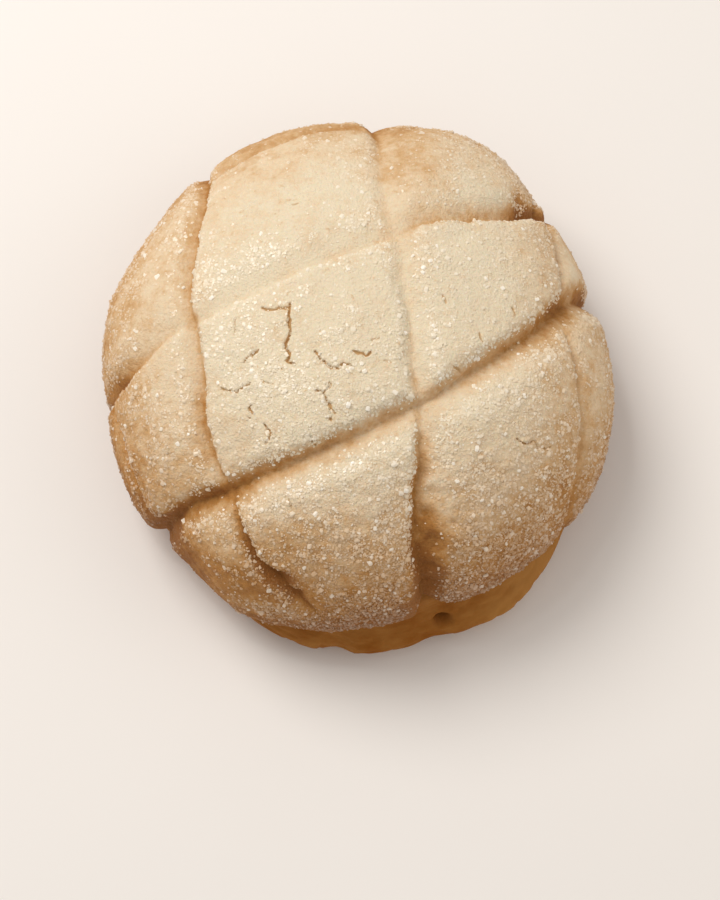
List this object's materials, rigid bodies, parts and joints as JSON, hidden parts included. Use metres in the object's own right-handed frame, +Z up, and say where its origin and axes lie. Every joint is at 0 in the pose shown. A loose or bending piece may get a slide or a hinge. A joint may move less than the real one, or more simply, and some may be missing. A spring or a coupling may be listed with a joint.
{
  "type": "melon pan bun",
  "caption": "Round sweet bread roll under a pale biscuit crust scored in a lattice, resting on its flat baked base.",
  "frame": {"origin": "middle of the flat baked base that the bun rests on", "axes": "+Z up through the dome, -Y towards the front, where the bread swells out past the crust, +X to the right seen from the front"},
  "size_m": [0.1063, 0.1126, 0.05],
  "materials": {
    "biscuit_crust": "matt baked biscuit, pale on the tiles and browner towards the rim, sandy with sugar",
    "bread": "smooth satin brown baked bread"
  },
  "bodies": {
    "root": {"biscuit_crust": "biscuit_crust", "bread": "bread"}
  },
  "joints": []
}
